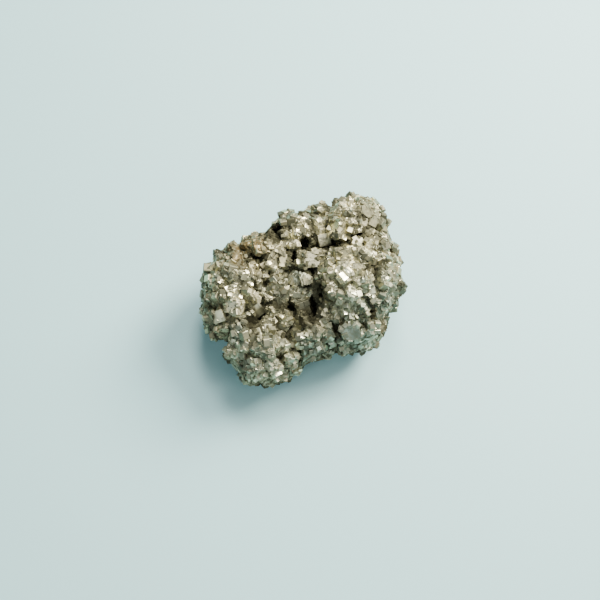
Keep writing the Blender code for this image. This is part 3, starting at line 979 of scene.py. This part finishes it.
@lru_cache
def growth_lines():
    """Fine parallel lines along a crystal's faces, which cross from face to face.

    One-dimensional noise of the first UV coordinate gives the lines, and slow noise of the
    second coordinate lets them fade in and out.
    """
    tree, given, end = new_group("growth_lines", [("Lines per mm", "Float")], [("Height", "Float")])
    where = add_node(tree, "ShaderNodeUVMap", uv_map="facets").outputs[0]
    axes = add_node(tree, "ShaderNodeSeparateXYZ", {0: where}).outputs
    across = maths(tree, "MULTIPLY", axes[0], given[0])
    lines = noise(tree, across, "lines", "1D")
    slow = noise(tree, where, "fading", "2D")
    tree.links.new(maths(tree, "MULTIPLY", lines, ranged(tree, slow, *LINES_FADE)), end.inputs[0])
    return tree


@lru_cache
def weathering():
    """Colour, roughness and metallic share of pyrite from what its surface carries.

    The metal is fresh or grey with the tone and slow noise. It takes a painted highlight colour at
    its highlight stains and on crystals of low tone, a painted greenish reflection of the floor and
    ochre iron oxide at their stains, which specks break up. Painted shade, with dirt, covers it in
    hollows. Dark painted shade, with tarnish, covers it at its stains and low on the crystals,
    where the gaps between them are. Painted highlights, shade with dirt, and ochre are frosted, so
    less metallic, and the dark shade with tarnish isn't.
    """
    tree, given, end = new_group(
        "weathering",
        [*((name.title(), "Color") for name in COLOURS), ("Polish", "Float")],
        [("Color", "Color"), ("Roughness", "Float"), ("Metallic", "Float")],
    )
    where = place_in_mm(tree)
    tone = marked(tree, "tone")
    patches, specks = (noise(tree, where, name) for name in ("patches", "specks"))
    tint = {
        name: maths(tree, "MULTIPLY", marked(tree, name), ranged(tree, specks, *through))
        for name, through in SPECKS.items()
    }

    dullness = maths(tree, "ADD", maths(tree, "MULTIPLY", tone, TONE_DULLS), patches)
    metal = mixed(tree, ranged(tree, dullness, *DULLNESS), given["Fresh"], given["Grey"])
    # Painted highlights at their stains and on crystals of low tone, then painted reflection and
    # ochre.
    bright = maths(tree, "MAXIMUM", tint["clean"], ranged(tree, tone, *BRIGHT_TONES))
    for name, factor in (("Clean", bright), ("Green", tint["green"]), ("Ochre", tint["ochre"])):
        metal = mixed(tree, factor, metal, given[name])

    # Painted shade, with dirt, in the hollows.
    deepened = maths(tree, "MULTIPLY", specks, SPECKS_DEEPEN)
    dirt = ranged(tree, maths(tree, "ADD", marked(tree, "hollow"), deepened), *DIRT_DEPTHS)
    # Painted shade in the gaps, low on each crystal, and less of it at the highlights.
    gaps = ranged(tree, marked(tree, "rise"), *GAP_RISES)
    gaps = maths(tree, "MULTIPLY", gaps, ranged(tree, tint["clean"], *GAP_ON_CLEAN))
    # The dark colour paints shade in the gaps and at the stains of shade and tarnish.
    tarnish = maths(tree, "MAXIMUM", tint["tarnish"], gaps)
    soiled = mixed(tree, dirt, metal, given["Dirt"])
    tree.links.new(mixed(tree, tarnish, soiled, given["Tarnish"]), end.inputs["Color"])

    dull = maths(tree, "MAXIMUM", dirt, tint["ochre"])
    felt = {**tint, "specks": specks, "tone": tone, "tarnish": tarnish, "dull": dull}
    rough = given["Polish"]
    for name, weight in ROUGHENS.items():
        rough = maths(tree, "ADD", rough, maths(tree, "MULTIPLY", felt[name], weight), clamp=True)
    tree.links.new(rough, end.inputs["Roughness"])
    frosted = maths(tree, "MAXIMUM", dull, maths(tree, "MULTIPLY", tint["clean"], CLEAN_FROSTS))
    frosted = maths(tree, "SUBTRACT", frosted, tarnish, clamp=True)
    tree.links.new(ranged(tree, frosted, *FROSTED_METAL), end.inputs["Metallic"])
    return tree


def rgba(values):
    """A colour with full alpha."""
    return (*values, 1.0)


def pyrite(name):
    """Pyrite's finish: pale brassy metal, growth lines, stains, tarnish, dirt and painted light."""
    finish = bpy.context.scene.pyrite_finish
    per_mm, depth, unevenness = RELIEFS[name]
    material = bpy.data.materials.new(name)
    material.use_nodes = True
    tree = material.node_tree
    surface = tree.nodes["Principled BSDF"]
    given = {key.title(): rgba(getattr(finish, key)) for key in COLOURS}
    given["Polish"] = finish.polish
    aged = add_node(tree, "ShaderNodeGroup", given, node_tree=weathering())
    lined = add_node(tree, "ShaderNodeGroup", {0: per_mm}, node_tree=growth_lines())
    lines = maths(tree, "MULTIPLY", lined.outputs[0], depth)
    grain = maths(tree, "MULTIPLY", noise(tree, place_in_mm(tree), "grain"), unevenness)
    height = maths(tree, "ADD", lines, grain)
    bump = add_node(tree, "ShaderNodeBump", {"Height": height, "Strength": 1.0, "Distance": 1.0})
    tree.links.new(aged.outputs["Color"], surface.inputs["Base Color"])
    tree.links.new(aged.outputs["Roughness"], surface.inputs["Roughness"])
    tree.links.new(aged.outputs["Metallic"], surface.inputs["Metallic"])
    tree.links.new(bump.outputs[0], surface.inputs["Normal"])
    return material


class PYRITE_OT_massive(bpy.types.Operator):
    """Adds the massive pyrite with its flat facets"""

    bl_idname = "pyrite.massive"
    bl_label = "Massive pyrite"

    def execute(self, context):
        solid, settings = facets(), context.scene.pyrite_cover
        chance = np.random.default_rng(settings.seed)
        across = np.cross(solid.normal, solid.along)
        shift = chance.uniform(-UV_SHIFT, UV_SHIFT, (len(across), 2))[solid.owner]
        held = solid.corners[solid.triangles]
        lengths = [
            np.einsum("tci,ti->tc", held, axis[solid.owner]) for axis in (across, solid.along)
        ]
        tone = chance.random(len(across))[solid.owner]
        marks = surface_marks(held.mean(axis=1), tone)
        bare = bare_facets(settings)
        rise = np.where(bare, chance.uniform(*BARE_RISE, len(bare)), 0.0)
        body = new_piece(
            "massive_pyrite", solid.corners, solid.triangles,
            np.stack(lengths, axis=2) + shift[:, None],
            {**marks, "rise": rise[solid.owner]}, pyrite("massive_pyrite"),
        )
        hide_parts(NODE)
        return {"FINISHED"}


class PYRITE_OT_large(bpy.types.Operator):
    """Adds the large crystals, with chamfered edges and terraces on their faces"""

    bl_idname = "pyrite.large"
    bl_label = "Large crystals"

    def execute(self, context):
        chance = np.random.default_rng(context.scene.pyrite_cover.seed + 1)
        shapes = [block_shape(*place, chance) for place in zip(*block_places())]
        starts = np.cumsum([0, *(len(shape[0]) for shape in shapes[:-1])])
        count = len(shapes[0][1])
        corners = np.vstack([shape[0] for shape in shapes])
        triangles = np.vstack([shape[1] + start for shape, start in zip(shapes, starts)])
        uv = np.vstack([shape[2] + chance.uniform(-UV_SHIFT, UV_SHIFT, 2) for shape in shapes])
        tone = np.repeat([block.tone for block in BLOCKS.values()], count)
        marks = surface_marks(corners[triangles].mean(axis=1), tone)
        new_piece(
            "large_crystals", corners, triangles, uv, {"rise": np.ones(len(corners)), **marks},
            pyrite("large_crystal"),
        )
        return {"FINISHED"}


class PYRITE_OT_medium(bpy.types.Operator):
    """Adds the medium crystals"""

    bl_idname = "pyrite.medium"
    bl_label = "Medium crystals"

    def execute(self, context):
        settings = context.scene.pyrite_cover
        make_cover("medium_crystals", "medium", pyrite("medium_crystal"), settings)
        return {"FINISHED"}


class PYRITE_OT_fine(bpy.types.Operator):
    """Adds the fine crystals"""

    bl_idname = "pyrite.fine"
    bl_label = "Fine crystals"

    def execute(self, context):
        settings = context.scene.pyrite_cover
        make_cover("fine_crystals", "fine", pyrite("fine_crystal"), settings)
        return {"FINISHED"}


class PYRITE_OT_grains(bpy.types.Operator):
    """Adds the grains between the crystals"""

    bl_idname = "pyrite.grains"
    bl_label = "Grains"

    def execute(self, context):
        make_cover("grains", "grain", pyrite("grain"), context.scene.pyrite_cover)
        return {"FINISHED"}


def aimed(data, location):
    """Puts a light or a camera into the scene, pointing at the middle of the view."""
    held = bpy.data.objects.new(data.name, data)
    held.location = location
    held.rotation_euler = (Vector(location) - AIM).to_track_quat("Z", "Y").to_euler()
    bpy.context.scene.collection.objects.link(held)
    return held


def soft_light(name, light, power):
    """A square area light."""
    data = bpy.data.lights.new(name, "AREA")
    data.size = light.size
    data.energy = light.share * power
    data.color = light.tint
    return aimed(data, light.place)


class PYRITE_OT_stage(bpy.types.Operator):
    """Adds the floor, the light and the camera"""

    bl_idname = "pyrite.stage"
    bl_label = "Stage"

    def execute(self, context):
        settings = context.scene.pyrite_stage
        mesh = bpy.data.meshes.new("floor")
        sides = ((-1, -1), (1, -1), (1, 1), (-1, 1))
        mesh.from_pydata([(x * FLOOR_HALF, y * FLOOR_HALF, 0) for x, y in sides], [], [range(4)])
        floor = bpy.data.objects.new("floor", mesh)
        context.scene.collection.objects.link(floor)
        paint = bpy.data.materials.new("floor")
        paint.use_nodes = True
        surface = paint.node_tree.nodes["Principled BSDF"].inputs
        surface["Base Color"].default_value = rgba(settings.floor)
        surface["Roughness"].default_value = FLOOR_ROUGHNESS
        mesh.materials.append(paint)
        for name, light in LIGHTS.items():
            soft_light(name, light, settings.light)
        world = bpy.data.worlds.new("room")
        world.use_nodes = True
        background = world.node_tree.nodes["Background"].inputs
        background["Color"].default_value = rgba(SKY_TINT)
        background["Strength"].default_value = settings.sky
        context.scene.world = world
        camera = bpy.data.cameras.new("camera")
        camera.lens = settings.lens
        camera.sensor_width = SENSOR_WIDTH
        camera.clip_start = NEAREST_SEEN
        back = Vector((0, -math.cos(settings.elevation), math.sin(settings.elevation)))
        distance = settings.lens / camera.sensor_width * settings.width
        context.scene.camera = aimed(camera, AIM + back * distance)
        return {"FINISHED"}


class PYRITE_PT_panel(bpy.types.Panel):
    """Lists the specimen's pieces and settings"""

    bl_idname = "PYRITE_PT_panel"
    bl_label = "Pyrite"
    bl_space_type = "VIEW_3D"
    bl_region_type = "UI"
    bl_category = "Pyrite"

    def draw(self, context):
        for step in STEPS:
            self.layout.operator(step.bl_idname)
        for name in SETTINGS:
            held = getattr(context.scene, name)
            for key in held.bl_rna.properties.keys():
                if key not in ("rna_type", "name"):
                    self.layout.prop(held, key)


STEPS = (
    PYRITE_OT_massive,
    PYRITE_OT_large,
    PYRITE_OT_medium,
    PYRITE_OT_fine,
    PYRITE_OT_grains,
    PYRITE_OT_stage,
)
SETTINGS = {
    "pyrite_cover": PYRITE_PG_cover,
    "pyrite_finish": PYRITE_PG_finish,
    "pyrite_stage": PYRITE_PG_stage,
}


def register():
    """Registers the classes and puts the settings on the scene."""
    for made in (*SETTINGS.values(), *STEPS, PYRITE_PT_panel):
        bpy.utils.register_class(made)
    for name, made in SETTINGS.items():
        setattr(bpy.types.Scene, name, PointerProperty(type=made))


def unregister():
    """Takes the settings off the scene and unregisters the classes."""
    for name in SETTINGS:
        delattr(bpy.types.Scene, name)
    for made in reversed((*SETTINGS.values(), *STEPS, PYRITE_PT_panel)):
        bpy.utils.unregister_class(made)


def main():
    """Makes every piece and the stage."""
    register()
    for step in STEPS:
        group, name = step.bl_idname.split(".")
        getattr(getattr(bpy.ops, group), name)()


if __name__ == "__main__":
    main()
